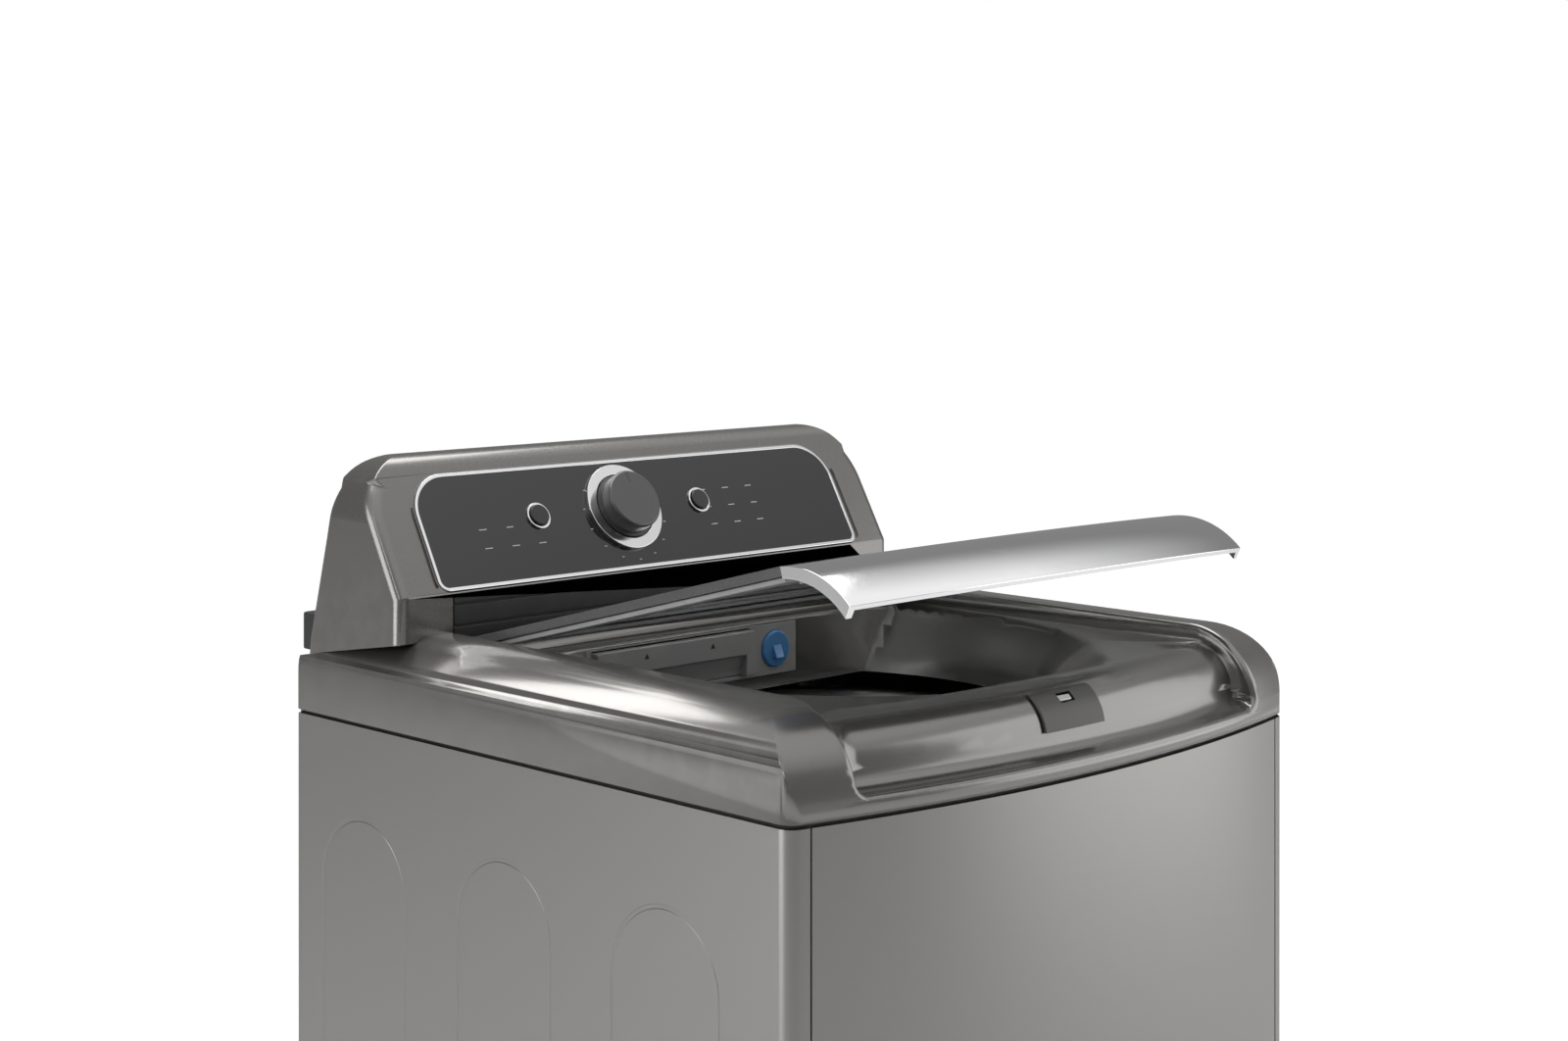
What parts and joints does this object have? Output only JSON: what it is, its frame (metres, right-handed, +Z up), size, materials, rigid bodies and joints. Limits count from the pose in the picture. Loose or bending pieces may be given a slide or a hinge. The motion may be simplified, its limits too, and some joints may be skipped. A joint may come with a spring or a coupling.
{
  "type": "top load washing machine",
  "caption": "Tall top load washing machine: bowed cabinet, glass lid on a rear hinge, raised control console, hanging tub with spinning basket and wash plate.",
  "frame": {"origin": "on the floor under the middle of the bounding box", "axes": "+Z up, +X to the right seen from the front, the front faces -Y"},
  "size_m": [0.686, 0.7344, 1.13],
  "materials": {
    "cabinet_steel": "satin metallic graphite with fine brushing",
    "cover_plastic": "metallic graphite, semi-gloss",
    "black_plastic": "fine textured black",
    "grey_plastic": "satin mid grey",
    "white_plastic": "satin white tub plastic",
    "lid_frame_plastic": "dark grey semi-gloss",
    "lid_inner_plastic": "satin grey",
    "lid_pane": "clear tempered glass",
    "control_pane": "deep black gloss",
    "bright_chrome": "bright polished",
    "blue_plastic": "translucent-looking blue, semi-gloss",
    "ring_plastic": "grey-blue satin",
    "stainless": "brushed stainless",
    "bare_steel": "zinc plated",
    "cast_aluminium": "as cast",
    "soft_rubber": "matte black",
    "clear_bumper": "soft translucent grey",
    "board_green": "circuit board green",
    "winding": "copper windings in resin",
    "base_plastic": "dark structural plastic"
  },
  "bodies": {
    "cabinet": {"left_side_panel": "cabinet_steel", "right_side_panel": "cabinet_steel", "front_panel": "cabinet_steel", "rear_panel": "cabinet_steel", "rear_panel_screws": "bare_steel", "base_frame": "base_plastic", "top_cover": "cover_plastic", "lid_hinge_bushes": "black_plastic", "latch_bezel": "grey_plastic", "lid_lock": "black_plastic", "console_housing": "cover_plastic", "console_trim": "bright_chrome", "console_glass": "control_pane", "lower_fascia": "black_plastic", "control_board": "board_green", "control_rings": "bright_chrome", "console_rear_cover": "black_plastic", "dispenser_housing": "grey_plastic", "spray_nozzle": "blue_plastic", "bleach_cup": "blue_plastic", "inlet_valves": "blue_plastic", "fill_hoses": "soft_rubber", "drain_pump": "black_plastic", "drain_hose": "soft_rubber", "cord_gland": "black_plastic", "suspension_brackets": "bare_steel", "suspension_rods": "bare_steel"},
    "lid": {"lid_frame": "lid_frame_plastic", "lid_glass": "lid_pane", "lid_inner_frame": "lid_inner_plastic", "lid_chrome_front": "bright_chrome", "lid_keeper": "bare_steel", "lid_bumpers": "clear_bumper", "lid_hinge_pins": "bare_steel"},
    "drawer": {"dispenser_drawer": "grey_plastic"},
    "knob": {"cycle_knob": "lid_frame_plastic"},
    "power_key": {"power_button": "black_plastic"},
    "start_key": {"start_button": "black_plastic"},
    "lock_pin": {"lid_lock_bolt": "bare_steel"},
    "tub": {"outer_tub": "white_plastic", "tub_cover": "grey_plastic", "bearing_housing": "cast_aluminium", "shaft_bearings": "bare_steel", "shaft_seal": "soft_rubber", "stator": "winding", "sump_bellows": "soft_rubber", "suspension_springs": "bare_steel"},
    "basket": {"wash_basket": "stainless", "balance_ring": "ring_plastic", "basket_hub": "cast_aluminium", "spin_shaft": "bare_steel"},
    "drive": {"pulsator": "grey_plastic", "pulsator_bolt": "bare_steel", "wash_shaft": "bare_steel", "rotor": "bare_steel", "rotor_nut": "bare_steel"},
    "foot_front_left": {"foot_front_left": "soft_rubber"},
    "foot_front_right": {"foot_front_right": "soft_rubber"},
    "foot_rear_left": {"foot_rear_left": "soft_rubber"},
    "foot_rear_right": {"foot_rear_right": "soft_rubber"}
  },
  "joints": [
    {"name": "lid_hinge", "type": "hinge", "parent": "cabinet", "child": "lid", "pos_m": [0, 0.15575, 0.957], "axis": [-1, 0, 0], "range_deg": [-14.5, 86.5]},
    {"name": "drawer_slide", "type": "slide", "parent": "cabinet", "child": "drawer", "axis": [0, -1, 0], "range_m": [0, 0.1]},
    {"name": "knob_turn", "type": "hinge", "parent": "cabinet", "child": "knob", "pos_m": [-0.03, 0.22665, 1.06227], "axis": [0, -0.8685, 0.4957], "continuous": true},
    {"name": "power_press", "type": "slide", "parent": "cabinet", "child": "power_key", "axis": [0, 0.8685, -0.4957], "range_m": [0, 0.0015], "stiffness_N_per_m": 800},
    {"name": "start_press", "type": "slide", "parent": "cabinet", "child": "start_key", "axis": [0, 0.8685, -0.4957], "range_m": [0, 0.0015], "stiffness_N_per_m": 800},
    {"name": "lock_bolt_slide", "type": "slide", "parent": "cabinet", "child": "lock_pin", "axis": [0, -0.7071, 0.7071], "range_m": [0, 0.0065]},
    {"name": "tub_suspension", "type": "slide", "parent": "cabinet", "child": "tub", "axis": [0, 0, 1], "range_m": [-0.04, 0.012], "stiffness_N_per_m": 24000, "springref_m": 0.01549, "deforming": ["suspension_springs", "sump_bellows"]},
    {"name": "basket_spin", "type": "hinge", "parent": "tub", "child": "basket", "pos_m": [0, 0.0035, 0.225], "axis": [0, 0, 1], "continuous": true},
    {"name": "drive_spin", "type": "hinge", "parent": "tub", "child": "drive", "pos_m": [0, 0.0035, 0.225], "axis": [0, 0, 1], "continuous": true},
    {"name": "foot_front_left_screw", "type": "slide", "parent": "cabinet", "child": "foot_front_left", "axis": [0, 0, -1], "range_m": [0, 0.02]},
    {"name": "foot_front_right_screw", "type": "slide", "parent": "cabinet", "child": "foot_front_right", "axis": [0, 0, -1], "range_m": [0, 0.02]},
    {"name": "foot_rear_left_screw", "type": "slide", "parent": "cabinet", "child": "foot_rear_left", "axis": [0, 0, -1], "range_m": [0, 0.02]},
    {"name": "foot_rear_right_screw", "type": "slide", "parent": "cabinet", "child": "foot_rear_right", "axis": [0, 0, -1], "range_m": [0, 0.02]}
  ]
}
